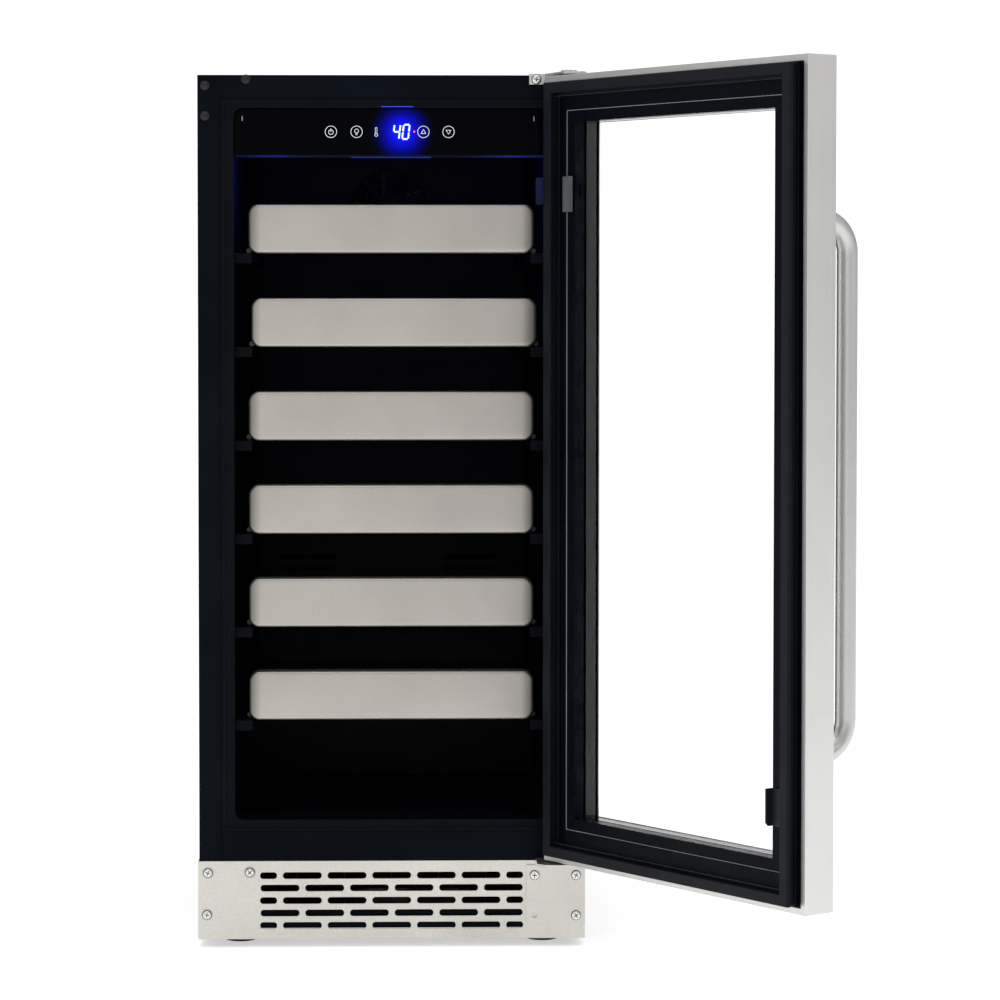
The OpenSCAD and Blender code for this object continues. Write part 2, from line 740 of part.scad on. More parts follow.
drier_at = [half_w - 32, y_rear - 60, pan_z + 80];
module filter_drier()
    color("#b0703c") translate(drier_at) rotate_extrude() polygon([
        [0, -45], [3.4, -45], [3.4, -38], [9, -32], [9, 32], [3.4, 38], [3.4, 45], [0, 45]
    ]);

suction_path = [
    [suction_x, cav_y - 3.9, coil_z0 + 20], [suction_x, y_rear - 24, coil_z0 + 20],
    [suction_x, y_rear - 24, room_top - 12]
];
tap_x = comp.x + 38;    // where the tubes meet the compressor
tap_z = comp_z + 40;
tap_out = 56;           // end of the compressor's stub, from its middle

module refrigerant_pipes()
    color("#b87844") {
        pipe(concat(suction_path, [[tap_x, y_rear - 24, room_top - 12],
            [tap_x, y_rear - 24, tap_z], [tap_x, comp.y + tap_out, tap_z]]), suction_r);
        pipe([
            [drier_at.x, drier_at.y, drier_at.z - 45], [drier_at.x, drier_at.y, pan_z + 14],
            [drier_at.x, cond_y1 + 12, pan_z + 14], [drier_at.x, cond_y1 + 12, cond_z0 + 15],
            [drier_at.x, cond_y1 - 30, cond_z0 + 15], [cond_x + 10.6, cond_y1 - 30, cond_z0 + 15]
        ], 2.5);
    }

module drip_tray()
    color("#3b3f44") difference() {
        slab(comp.x - 52, comp.x + 52, comp.y - 50, comp.y + 44, comp_z + comp_h, room_top - 1);
        slab(comp.x - 50, comp.x + 50, comp.y - 48, comp.y + 42, comp_z + comp_h + 2, room_top);
    }

module drain_tube()
    color("#5a5f66") difference() {
        union() {
            rod_z([drain_at.x, drain_at.y, room_top - 5], drain_r, hump_top - room_top + 5.5);
            rod_z([drain_at.x, drain_at.y, hump_top], drain_r + 3, 1);
        }
        rod_z([drain_at.x, drain_at.y, room_top - 6], drain_r - 1.5, hump_top - room_top + 8);
    }

// ---- door ----

module door_frame()
    color("#c9c8c4") on_door() difference() {
        door_slab(0, 0, door_t);
        door_slab(frame_t, frame_t, door_t - frame_t);
        door_slab(lip_w, -1, frame_t + 1);
        door_slab(border, door_t - frame_t - 1, door_t + 1);
        for (z = [door_z0 - 1, door_z1 - 3])
            rod_z([pivot_x, pivot_y, z], bush_r + seat, 4);
        for (z = handle_ends)
            rod_y([handle_x, door_out - 1, z], 2.6, frame_t + 2);
    }

// Channel-shaped plastic frame: a face, the reveal, a leg that holds the glass, a leg at the edge
module door_inner_frame()
    color("#131518") on_door() difference() {
        union() {
            difference() {
                door_slab(lip_w + 0.15, 0, frame_t + 0.1);
                hull() {
                    door_slab(step_in, -0.01, 0);
                    door_slab(step_in + step, step - 0.01, step);
                }
            }
            difference() {
                door_slab(frame_t + 0.1, frame_t, 4);
                hull() {
                    door_slab(step_in, -0.01, 0);
                    door_slab(step_in + step, step - 0.01, step);
                }
                door_slab(border, 0, 5);
            }
            door_ring(border - 2.5, border, 3.9, pane_n);
            door_ring(glass_in - 2.2, glass_in - seat, 3.9, door_t - frame_t - seat);
            door_ring(frame_t + 0.1, frame_t + 2.1, 3.9, door_t - frame_t - seat);
        }
        door_slab(border, -1, 5);
        for (z = [door_z0 - 1, door_z1 - 5])
            rod_z([pivot_x, pivot_y, z], bush_r + seat, 6);
        lock_slot();
    }

// Slot in the reveal on the hinge side
module lock_slot()
    slab(half_w - border - 1, half_w - border + 4, door_in - 9, door_in - 6,
        door_z1 - 117, door_z1 - 104);

module outer_glass()
    color("#2a3540", 0.5) on_door()
        door_slab(glass_in, door_t - frame_t - pane_t, door_t - frame_t);
module inner_glass()
    color("#50606c", 0.5) on_door() door_slab(glass_in, pane_n, pane_n + inner_pane_t);
module glass_spacer()
    color("#1a1c1e") on_door()
        door_ring(glass_in + 2, border - 0.2, pane_n + inner_pane_t, pane_n + inner_pane_t + air_gap);

// Seal, closed: foot, neck, bellows and magnet strip, each a ring of its own width
module seal_ring(inset, w, n0, n1) {
    x = half_w - seal_side - inset;
    z = seal_end + inset;
    difference() {
        slab(-x, x, door_in - n1, door_in - n0, door_z0 + z, door_z1 - z);
        slab(-x + w, x - w, door_in - n1 - 1, door_in - n0 + 1, door_z0 + z + w, door_z1 - z - w);
    }
}
module door_gasket()
    color("#1f2226") on_door() {
        seal_ring(0.5, seal_w - 1, -seal_h, -seal_h + 1.2);
        seal_ring(0, seal_w, -seal_h + 1, -seal_h + 5);
        seal_ring(2.2, seal_w - 4.2, -seal_h + 4.9, -seal_h + 6.2);
        seal_ring(1, seal_w - 2, -seal_h + 6.1, -seal_h + 8.2);
        seal_ring(2.6, seal_w - 5, -seal_h + 8.1, -1.4);
        seal_ring(-0.6, seal_w + 2.4, -1.5, 0);
    }

handle_x = -half_w + handle_in;
mid_z = (door_z0 + door_z1) / 2;
handle_ends = [for (s = [-1, 1]) mid_z - handle_drop + s * (handle_l / 2 - handle_r)];

module door_handle()
    color("#c4c4c0") on_door() difference() {
        union() {
            rod_z([handle_x, door_out - handle_off, handle_ends[0] + bend_r], handle_r,
                handle_ends[1] - handle_ends[0] - 2 * bend_r);
            for (i = [0, 1]) {
                s = i * 2 - 1;
                rod_y([handle_x, door_out - handle_off + bend_r, handle_ends[i]], handle_r,
                    handle_off - bend_r);
                translate([handle_x, door_out - handle_off + bend_r, handle_ends[i] - s * bend_r])
                    rotate([0, -90, 0]) rotate([0, 0, i == 0 ? 180 : -90])
                        rotate_extrude(angle = 90) translate([bend_r, 0]) circle(handle_r);
            }
        }
        for (z = handle_ends) rod_y([handle_x, door_out - 16, z], 2.5, 17);
    }

module handle_screws()
    color("#b0b0ae") on_door() for (z = handle_ends) {
        rod_y([handle_x, door_out - 14, z], 2.5, 14 + frame_t);
        rod_y([handle_x, door_out + frame_t, z], 4.8, 3);
    }

// Nylon blocks in the door's corners, with a collar that takes the hinge pin
bush_z = frame_t + 2.1;
module bush(z_wall, s, collar) {
    difference() {
        union() {
            slab(half_w - 28, half_w - 6, door_in - 27, door_in - 6,
                min(z_wall, z_wall + s * bush_h), max(z_wall, z_wall + s * bush_h));
            rod_z([pivot_x, pivot_y, min(z_wall, z_wall - s * collar)], bush_r, collar);
        }
        rod_z([pivot_x, pivot_y, z_wall - bush_h - 9], pin_r + run, 2 * bush_h + 18);
    }
}
module hinge_bushes()
    color("#d7d7d2") on_door() {
        bush(door_z0 + bush_z, 1, door_z0 + bush_z - flange_z - bracket_t - seat);
        bush(door_z1 - bush_z, -1, bush_z + 0.6);
    }

catch_h = 34;
catch_w = 14;
catch_t = 2;
catch_out = 9;
catch_z = 92.5;   // middle of the lower catch above the door's bottom edge
catch_drop = 22;  // how much further the upper catch is from its end of the door
catch_u = 42;     // outer face of the flange in from the door's edge

// Angle bracket: a plate on the inner frame and a flange that points at the cabinet
module catch_piece() {
    x = -half_w + catch_u;
    z = door_z0 + catch_z - catch_h / 2;
    slab(x - catch_w + catch_t, x + catch_t, door_in, door_in + 1.8, z, z + catch_h);
    round_edge_flange(x, z);
}
module round_edge_flange(x, z)
    translate([x, 0, 0]) rotate([90, 0, 90]) linear_extrude(catch_t)
        polygon([
            [door_in, z], [door_in, z + catch_h], [door_in + catch_out, z + catch_h],
            [door_in + catch_out, z + 3], [door_in + catch_out - 3, z]
        ]);
module lower_catch() color("#1b1e22") on_door() catch_piece();
module upper_catch()
    color("#5f6367") on_door() translate([0, 0, 2 * mid_z - catch_drop]) rotate([0, 180, 0])
        catch_piece();

// ---- shelves ----

front_t = 1.2;
front_r = 8;

// Folded rail: round edges along its front and at its ends, open at the back
module shelf_front(i) {
    x = shelf_shift[i];
    y = y_front + front_back;
    z = rail_z(i);
    color("#bdb9b2") difference() {
        rail_solid(x, y, z, 0);
        rail_solid(x, y, z, front_t);
    }
}
module rail_solid(x, y, z, inset)
    intersection() {
        translate([x - front_w / 2 + inset, 0, 0]) rotate([90, 0, 90])
            linear_extrude(front_w - 2 * inset)
                rail_outline(y + inset, y + front_d + inset, z + inset, z + front_h - inset);
        translate([0, 0, z - 1]) linear_extrude(front_h + 2)
            rail_outline(x - front_w / 2 + inset, x + front_w / 2 - inset, y + inset,
                y + front_d + inset + front_r, true);
    }
// Rectangle with two round corners: on its low first side, or on its low second side when turned
module rail_outline(a0, a1, b0, b1, turned = false) {
    r = front_r;
    if (turned) {
        translate([a0 + r, b0]) square([a1 - a0 - 2 * r, b1 - b0]);
        translate([a0, b0 + r]) square([a1 - a0, b1 - b0 - r]);
        for (a = [a0 + r, a1 - r]) translate([a, b0 + r]) circle(r);
    } else {
        translate([a0, b0 + r]) square([a1 - a0, b1 - b0 - 2 * r]);
        translate([a0 + r, b0]) square([a1 - a0 - r, b1 - b0]);
        for (b = [b0 + r, b1 - r]) translate([a0 + r, b]) circle(r);
    }
}

cradle = bottle_d * 0.3; // from a bottle's middle to each rod under it
module shelf_rack(i) {
    x = shelf_shift[i];
    z = rail_z(i) + slide + side_rod_r;
    z_cross = z + side_rod_r + cross_rod_r - weld;
    z_long = z_cross + 2 * cross_rod_r - weld;
    z_tab = rail_z(i) + front_t + front_r;
    y0 = rack_y + seat;
    color("#c8c8c6") {
        for (s = [-1, 1]) rod_y([x + s * rack_x, y0, z], side_rod_r, rack_l);
        for (t = [0.02, 0.35, 0.68, 0.98])
            rod_x([x - rack_x, y0 + t * rack_l, z_cross], cross_rod_r, 2 * rack_x);
        for (b = [-1, 0, 1], s = [-1, 1])
            rod_y([x + b * bottle_pitch + s * cradle, y0, z_long], cross_rod_r, rack_l);
        for (s = [-1, 1]) {
            x_tab = x + s * (front_w / 2 - 15);
            slab(x_tab - 5, x_tab + 5, y_front + front_back + front_t, y0 + 14, z_tab, z_tab + 3);
            slab(x_tab - 5, x_tab + 5, y0 + 3, y0 + 14, z_cross + 1, z_tab + 0.1);
        }
    }
}

module shelf_1_front() shelf_front(0);
module shelf_1_rack() shelf_rack(0);
module shelf_2_front() shelf_front(1);
module shelf_2_rack() shelf_rack(1);
module shelf_3_front() shelf_front(2);
module shelf_3_rack() shelf_rack(2);
module shelf_4_front() shelf_front(3);
module shelf_4_rack() shelf_rack(3);
module shelf_5_front() shelf_front(4);
module shelf_5_rack() shelf_rack(4);
module shelf_6_front() shelf_front(5);
module shelf_6_rack() shelf_rack(5);

outer_casing();
back_panel();
machine_cover();
bottom_crossbar();
inner_liner();
insulation_foam();
base_pan();
kick_plate();
kick_plate_screws();
rear_feet();
front_left_foot();
front_right_foot();
top_hinge_bracket();
bottom_hinge_bracket();
hinge_screws();
hole_plugs();
control_housing();
control_fascia();
control_board();
display_module();
interior_lamp();
temperature_sensor();
evaporator_cover();
evaporator();
evaporator_fan_motor();
evaporator_fan_rotor();
condenser();
condenser_fan_motor();
condenser_fan_rotor();
compressor();
compressor_grommets();
relay_box();
filter_drier();
refrigerant_pipes();
drip_tray();
drain_tube();
cord_gland();
door_frame();
door_inner_frame();
outer_glass();
inner_glass();
glass_spacer();
door_gasket();
door_handle();
handle_screws();
hinge_bushes();
upper_catch();
lower_catch();
shelf_1_front();
shelf_1_rack();
shelf_2_front();
shelf_2_rack();
shelf_3_front();
shelf_3_rack();
shelf_4_front();
shelf_4_rack();
shelf_5_front();
shelf_5_rack();
shelf_6_front();
shelf_6_rack();
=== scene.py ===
import json
import math
import bpy
from mathutils import Matrix, Vector


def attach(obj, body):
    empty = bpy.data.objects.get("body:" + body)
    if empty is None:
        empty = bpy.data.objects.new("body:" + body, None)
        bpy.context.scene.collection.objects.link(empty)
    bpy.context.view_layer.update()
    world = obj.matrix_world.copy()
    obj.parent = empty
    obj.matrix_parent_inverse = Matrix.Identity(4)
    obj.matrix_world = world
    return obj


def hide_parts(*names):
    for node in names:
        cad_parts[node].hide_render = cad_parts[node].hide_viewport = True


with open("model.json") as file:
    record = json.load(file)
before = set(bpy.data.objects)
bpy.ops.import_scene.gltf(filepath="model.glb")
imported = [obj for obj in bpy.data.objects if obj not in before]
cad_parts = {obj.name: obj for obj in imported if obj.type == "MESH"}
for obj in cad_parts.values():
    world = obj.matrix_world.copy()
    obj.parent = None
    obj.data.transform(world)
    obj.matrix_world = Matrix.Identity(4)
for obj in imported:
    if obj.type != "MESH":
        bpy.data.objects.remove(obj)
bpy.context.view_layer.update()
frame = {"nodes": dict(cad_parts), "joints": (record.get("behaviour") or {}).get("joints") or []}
nodes = frame["nodes"]
joints = {j["name"]: j for j in frame["joints"]}
mm = 0.001

# The door is modelled closed, then swung open about its hinge, as it stands at rest
hinge = joints["door_hinge"]
hingeAt = Vector(hinge["pos_m"])
openAngle = math.radians(-hinge["range_deg"][0])
swingOpen = (Matrix.Translation(hingeAt) @ Matrix.Rotation(openAngle, 4, "Z")
             @ Matrix.Translation(-hingeAt))
swingShut = swingOpen.inverted()


def closedBox(node):
    points = [swingShut @ v.co for v in nodes[node].data.vertices]
    low = Vector([min(p[i] for p in points) for i in range(3)])
    high = Vector([max(p[i] for p in points) for i in range(3)])
    return low, high


# ---- small modelling helpers ----

def selectOnly(piece):
    bpy.ops.object.select_all(action="DESELECT")
    piece.select_set(True)
    bpy.context.view_layer.objects.active = piece


def pick(piece, kind, test):
    # Selects faces, edges or corners in edit mode; test gets the points, and a face's normal
    selectOnly(piece)
    bpy.ops.object.mode_set(mode="EDIT")
    bpy.ops.mesh.select_mode(type=kind)
    bpy.ops.mesh.select_all(action="DESELECT")
    bpy.ops.object.mode_set(mode="OBJECT")
    mesh = piece.data
    place = piece.matrix_world
    if kind == "FACE":
        for face in mesh.polygons:
            points = [place @ mesh.vertices[i].co for i in face.vertices]
            face.select = bool(test(points, face.normal))
    elif kind == "EDGE":
        for edge in mesh.edges:
            edge.select = bool(test([place @ mesh.vertices[i].co for i in edge.vertices]))
    else:
        for corner in mesh.vertices:
            corner.select = bool(test([place @ corner.co]))
    bpy.ops.object.mode_set(mode="EDIT")


def pickAll(piece):
    selectOnly(piece)
    bpy.ops.object.mode_set(mode="EDIT")
    bpy.ops.mesh.select_all(action="SELECT")


def endEdit():
    bpy.ops.object.mode_set(mode="OBJECT")


def extrude(x=0, y=0, z=0):
    bpy.ops.mesh.extrude_region_move(TRANSFORM_OT_translate={"value": (x, y, z)})


def applyPlace(piece):
    selectOnly(piece)
    bpy.ops.object.transform_apply(location=True, rotation=True, scale=True)


def addModifier(piece, kind, **settings):
    selectOnly(piece)
    modifier = piece.modifiers.new(kind.title(), kind)
    for key, value in settings.items():
        setattr(modifier, key, value)
    bpy.ops.object.modifier_apply(modifier=modifier.name)


def addBlock(name, low, high):
    low, high = Vector(low), Vector(high)
    bpy.ops.object.select_all(action="DESELECT")
    bpy.ops.mesh.primitive_cube_add(size=1, location=(low + high) / 2)
    piece = bpy.context.object
    piece.name = name
    piece.scale = high - low
    applyPlace(piece)
    return piece


def addRod(name, start, axis, radius, length, sides=32):
    turn = Vector(axis).to_track_quat("Z", "Y").to_euler()
    centre = Vector(start) + Vector(axis).normalized() * length / 2
    bpy.ops.object.select_all(action="DESELECT")
    bpy.ops.mesh.primitive_cylinder_add(vertices=sides, radius=radius, depth=length,
                                        location=centre, rotation=turn)
    piece = bpy.context.object
    piece.name = name
    applyPlace(piece)
    return piece


def joinPieces(name, pieces):
    bpy.ops.object.select_all(action="DESELECT")
    for piece in pieces:
        piece.select_set(True)
    bpy.context.view_layer.objects.active = pieces[0]
    if len(pieces) > 1:
        bpy.ops.object.join()
    joined = bpy.context.view_layer.objects.active
    joined.name = name
    applyPlace(joined)
    return joined


def copyPiece(piece, name, move=(0, 0, 0), turn=None):
    made = bpy.data.objects.new(name, piece.data.copy())
    bpy.context.scene.collection.objects.link(made)
    made.matrix_world = Matrix.Translation(Vector(move)) @ (turn or Matrix.Identity(4))
    applyPlace(made)
    return made


def cutWith(piece, tool):
    addModifier(piece, "BOOLEAN", operation="DIFFERENCE", solver="EXACT", object=tool)
    bpy.data.objects.remove(tool, do_unlink=True)


def smooth(piece, angle=35):
    selectOnly(piece)
    bpy.ops.object.shade_smooth_by_angle(angle=math.radians(angle))


def paint(piece, material):
    piece.data.materials.clear()
    piece.data.materials.append(material)


def finishPiece(piece, body, material, replaces=(), angle=35):
    applyPlace(piece)
    smooth(piece, angle)
    if material:
        paint(piece, material)
    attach(piece, body)
    if replaces:
        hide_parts(*replaces)


def softEdged(node, name, width, segments=2, angle=30):
    # A copy of a CAD node with its sharp edges rounded off
    source = nodes[node]
    piece = bpy.data.objects.new(name, source.data.copy())
    bpy.context.scene.collection.objects.link(piece)
    selectOnly(piece)
    if piece.data.has_custom_normals:
        bpy.ops.mesh.customdata_custom_splitnormals_clear()
    pickAll(piece)
    bpy.ops.mesh.remove_doubles(threshold=1e-6)
    bpy.ops.mesh.dissolve_limited(angle_limit=math.radians(0.5))
    endEdit()
    addModifier(piece, "BEVEL", width=width, segments=segments, limit_method="ANGLE",
                angle_limit=math.radians(angle), use_clamp_overlap=False,
                harden_normals=False)
    return piece


# ---- camera and light ----

view = {
    "place": (-0.0123, -3.557, 0.6306),
    "pitch": -2.141,    # degrees below the horizon
    "turn": 1.209,      # degrees towards the door
    "lens": 121.45,
    "shift": (0.05, -0.07),
}


def makeCamera():
    camera = bpy.data.objects.new("camera", bpy.data.cameras.new("camera"))
    bpy.context.scene.collection.objects.link(camera)
    camera.location = view["place"]
    camera.rotation_euler = (math.radians(90 + view["pitch"]), 0, math.radians(-view["turn"]))
    camera.data.lens = view["lens"]
    camera.data.sensor_width = 36
    camera.data.shift_x, camera.data.shift_y = view["shift"]
    camera.data.clip_end = 50
    bpy.context.scene.camera = camera


lights = {
    # name: place, target, size, energy, colour
    "topSoftbox": ((0.0, -0.3, 3.2), (0, 0, 0.4), 2.6, 30, (1, 1, 1)),
    "frontSoftbox": ((-0.6, -4.2, 1.6), (0, 0, 0.5), 2.4, 11, (1, 0.985, 0.955)),
    "rightStrip": ((3.2, -1.4, 2.0), (0.3, -0.4, 0.6), 1.6, 6.5, (1, 0.99, 0.97)),
    "leftStrip": ((-3.0, -1.2, 1.0), (0, 0, 0.5), 1.4, 6, (0.93, 0.97, 1)),
}
studio = {"sky": 0.68, "seen": 1.15, "floorSize": 60, "floorGlow": 0.55}
# Small blue lights of the display and of the lamp in the cavity's ceiling
blueLights = {"lampLeft": (-0.118, -0.232, 0.755, 0.42), "lampRight": (0.118, -0.232, 0.755, 0.42),
              "lampMiddle": (0.03, -0.12, 0.760, 0.35), "display": (0.0105, -0.272, 0.7983, 0.012)}


def makeLights():
    for name, (place, target, size, energy, colour) in lights.items():
        lamp = bpy.data.lights.new(name, "AREA")
        lamp.size, lamp.energy, lamp.color = size, energy, colour
        holder = bpy.data.objects.new(name, lamp)
        bpy.context.scene.collection.objects.link(holder)
        holder.location = place
        aim = Vector(target) - Vector(place)
        holder.rotation_euler = aim.to_track_quat("-Z", "Y").to_euler()
        holder.visible_camera = False
    for name, (x, y, z, energy) in blueLights.items():
        lamp = bpy.data.lights.new(name, "POINT")
        lamp.energy, lamp.color, lamp.shadow_soft_size = energy, (0.05, 0.10, 1.0), 0.01
        holder = bpy.data.objects.new(name, lamp)
        bpy.context.scene.collection.objects.link(holder)
        holder.location = (x, y, z)
        holder.visible_camera = False
        holder.visible_glossy = False


def makeStudio():
    scene = bpy.context.scene
    scene.view_settings.view_transform = "Standard"
    world = bpy.data.worlds.new("studio")
    scene.world = world
    world.use_nodes = True
    tree = world.node_tree
    tree.nodes.clear()
    out = tree.nodes.new("ShaderNodeOutputWorld")
    mix = tree.nodes.new("ShaderNodeMixShader")
    seen = tree.nodes.new("ShaderNodeBackground")
    seen.inputs["Color"].default_value = (1, 1, 1, 1)
    seen.inputs["Strength"].default_value = studio["seen"]
    felt = tree.nodes.new("ShaderNodeBackground")
    felt.inputs["Strength"].default_value = studio["sky"]
    path = tree.nodes.new("ShaderNodeLightPath")
    either = tree.nodes.new("ShaderNodeMath")
    either.operation = "MAXIMUM"
    where = tree.nodes.new("ShaderNodeTexCoord")
    split = tree.nodes.new("ShaderNodeSeparateXYZ")
    ramp = tree.nodes.new("ShaderNodeValToRGB")
    ramp.color_ramp.elements[0].position = 0.3
    ramp.color_ramp.elements[0].color = (0.30, 0.30, 0.31, 1)
    ramp.color_ramp.elements[1].position = 0.75
    ramp.color_ramp.elements[1].color = (0.9, 0.9, 0.9, 1)
    half = tree.nodes.new("ShaderNodeMath")
    half.operation = "MULTIPLY_ADD"
    half.inputs[1].default_value = 0.5
    half.inputs[2].default_value = 0.5
    link = tree.links.new
    link(where.outputs["Generated"], split.inputs[0])
    link(split.outputs["Z"], half.inputs[0])
    link(half.outputs[0], ramp.inputs["Fac"])
    link(ramp.outputs["Color"], felt.inputs["Color"])
    link(path.outputs["Is Camera Ray"], either.inputs[0])
    link(path.outputs["Is Transmission Ray"], either.inputs[1])
    link(either.outputs[0], mix.inputs["Fac"])
    link(felt.outputs[0], mix.inputs[1])
    link(seen.outputs[0], mix.inputs[2])
    link(mix.outputs[0], out.inputs["Surface"])

    bpy.ops.object.select_all(action="DESELECT")
    bpy.ops.mesh.primitive_plane_add(size=studio["floorSize"], location=(0, 0, 0))
    floor = bpy.context.object
    floor.name = "floor"
    surface = bpy.data.materials.new("paleFloor")
    surface.use_nodes = True
    shader = surface.node_tree.nodes["Principled BSDF"]
    shader.inputs["Base Color"].default_value = (0.93, 0.93, 0.93, 1)
    shader.inputs["Roughness"].default_value = 0.6
    shader.inputs["Specular IOR Level"].default_value = 0.05
    shader.inputs["Emission Color"].default_value = (1, 1, 1, 1)
    shader.inputs["Emission Strength"].default_value = studio["floorGlow"]
    floor.data.materials.append(surface)


# ---- materials ----

def shaderGroup(name, inputs, outputs):
    group = bpy.data.node_groups.new(name, "ShaderNodeTree")
    for label, kind, value in inputs:
        socket = group.interface.new_socket(label, in_out="INPUT", socket_type=kind)
        if value is not None:
            socket.default_value = value
    for label, kind in outputs:
        group.interface.new_socket(label, in_out="OUTPUT", socket_type=kind)
    start = group.nodes.new("NodeGroupInput")
    end = group.nodes.new("NodeGroupOutput")
    return group, start, end


def addNoise(tree, vector, scale, detail=3, rough=0.6):
    noise = tree.nodes.new("ShaderNodeTexNoise")
    noise.inputs["Scale"].default_value = scale
    noise.inputs["Detail"].default_value = detail
    noise.inputs["Roughness"].default_value = rough
    tree.links.new(vector, noise.inputs["Vector"])
    return noise.outputs["Fac"]


def addRange(tree, value, low, high, fromLow=0.3, fromHigh=0.7):
    node = tree.nodes.new("ShaderNodeMapRange")
    tree.links.new(value, node.inputs["Value"])
    node.inputs["From Min"].default_value = fromLow
    node.inputs["From Max"].default_value = fromHigh
    for key, end in (("To Min", low), ("To Max", high)):
        if hasattr(end, "is_linked"):
            tree.links.new(end, node.inputs[key])
        else:
            node.inputs[key].default_value = end
    return node.outputs["Result"]


def addMix(tree, factor, first, second):
    node = tree.nodes.new("ShaderNodeMix")
    node.data_type = "RGBA"
    tree.links.new(factor, node.inputs["Factor"])
    for key, value in (("A", first), ("B", second)):
        socket = [s for s in node.inputs if s.name == key and s.type == "RGBA"][0]
        if hasattr(value, "is_linked"):
            tree.links.new(value, socket)
        else:
            socket.default_value = value
    return [s for s in node.outputs if s.type == "RGBA"][0]


colourKind, numberKind, vectorKind = "NodeSocketColor", "NodeSocketFloat", "NodeSocketVector"


def makeBrushing():
    # Long fine scratches along one axis, over soft patches; the vector comes in already stretched
    group, start, end = shaderGroup(
        "brushing",
        [("Stretched", vectorKind, None), ("Vector", vectorKind, None),
         ("Light", colourKind, (0.7, 0.7, 0.7, 1)), ("Dark", colourKind, (0.5, 0.5, 0.5, 1)),
         ("Smoothest", numberKind, 0.25), ("Roughest", numberKind, 0.4)],
        [("Color", colourKind), ("Roughness", numberKind), ("Height", numberKind)])
    lines = addNoise(group, start.outputs["Stretched"], 1.0, 4, 0.7)
    patches = addNoise(group, start.outputs["Vector"], 14.0, 2, 0.5)
    specks = addNoise(group, start.outputs["Vector"], 900.0, 1, 0.5)
    blend = group.nodes.new("ShaderNodeMath")
    blend.operation = "MULTIPLY_ADD"
    group.links.new(patches, blend.inputs[0])
    blend.inputs[1].default_value = 0.35
    scaled = group.nodes.new("ShaderNodeMath")
    scaled.operation = "MULTIPLY_ADD"
    group.links.new(lines, scaled.inputs[0])
    scaled.inputs[1].default_value = 0.5
    group.links.new(specks, scaled.inputs[2])
    small = group.nodes.new("ShaderNodeMath")
    small.operation = "MULTIPLY"
    group.links.new(scaled.outputs[0], small.inputs[0])
    small.inputs[1].default_value = 0.43
    group.links.new(small.outputs[0], blend.inputs[2])
    tone = addRange(group, blend.outputs[0], 0, 1, 0.3, 0.68)
    group.links.new(addMix(group, tone, start.outputs["Dark"], start.outputs["Light"]),
                    end.inputs["Color"])
    group.links.new(addRange(group, lines, start.outputs["Smoothest"], start.outputs["Roughest"]),
                    end.inputs["Roughness"])
    group.links.new(lines, end.inputs["Height"])
    return group


def makeMoulding():
    # Fine even grain of paint or moulded plastic, with slow changes of tone
    group, start, end = shaderGroup(
        "moulding",
        [("Vector", vectorKind, None), ("Grain", numberKind, 1500.0),
         ("Light", colourKind, (0.1, 0.1, 0.1, 1)), ("Dark", colourKind, (0.05, 0.05, 0.05, 1)),
         ("Smoothest", numberKind, 0.3), ("Roughest", numberKind, 0.45)],
        [("Color", colourKind), ("Roughness", numberKind), ("Height", numberKind)])
    fine = group.nodes.new("ShaderNodeTexNoise")
    fine.inputs["Detail"].default_value = 2
    group.links.new(start.outputs["Vector"], fine.inputs["Vector"])
    group.links.new(start.outputs["Grain"], fine.inputs["Scale"])
    slow = addNoise(group, start.outputs["Vector"], 7.0, 3, 0.6)
    smudge = addNoise(group, start.outputs["Vector"], 38.0, 4, 0.65)
    group.links.new(addMix(group, addRange(group, slow, 0, 1), start.outputs["Dark"],
                           start.outputs["Light"]), end.inputs["Color"])
    group.links.new(addRange(group, smudge, start.outputs["Smoothest"], start.outputs["Roughest"]),
                    end.inputs["Roughness"])
    group.links.new(fine.outputs["Fac"], end.inputs["Height"])
    return group


brushing = makeBrushing()
moulding = makeMoulding()


def newMaterial(name):
    material = bpy.data.materials.new(name)
    material.use_nodes = True
    return material, material.node_tree, material.node_tree.nodes["Principled BSDF"]


def objectVector(tree, scale=(1, 1, 1), turn=(0, 0, 0), place=(0, 0, 0)):
    where = tree.nodes.new("ShaderNodeTexCoord")
    mapping = tree.nodes.new("ShaderNodeMapping")
    mapping.inputs["Scale"].default_value = scale
    mapping.inputs["Rotation"].default_value = turn
    mapping.inputs["Location"].default_value = place
    tree.links.new(where.outputs["Object"], mapping.inputs["Vector"])
    return mapping.outputs["Vector"]


def addBump(tree, shader, height, depth, strength=1.0):
    bump = tree.nodes.new("ShaderNodeBump")
    bump.inputs["Distance"].default_value = depth
    bump.inputs["Strength"].default_value = strength
    tree.links.new(height, bump.inputs["Height"])
    tree.links.new(bump.outputs["Normal"], shader.inputs["Normal"])


def brushedSteel(name, light, dark, smoothest, roughest, grainTurn=(0, 0, 0), metallic=1.0,
                 stretch=(2.5, 700, 1100), depth=0.00002):
    material, tree, shader = newMaterial(name)
    grain = tree.nodes.new("ShaderNodeGroup")
    grain.node_tree = brushing
    grain.inputs["Light"].default_value = (*light, 1)
    grain.inputs["Dark"].default_value = (*dark, 1)
    grain.inputs["Smoothest"].default_value = smoothest
    grain.inputs["Roughest"].default_value = roughest
    tree.links.new(objectVector(tree, stretch, grainTurn), grain.inputs["Stretched"])
    tree.links.new(objectVector(tree), grain.inputs["Vector"])
    tree.links.new(grain.outputs["Color"], shader.inputs["Base Color"])
    tree.links.new(grain.outputs["Roughness"], shader.inputs["Roughness"])
    addBump(tree, shader, grain.outputs["Height"], depth, 0.5)
    shader.inputs["Metallic"].default_value = metallic
    return material


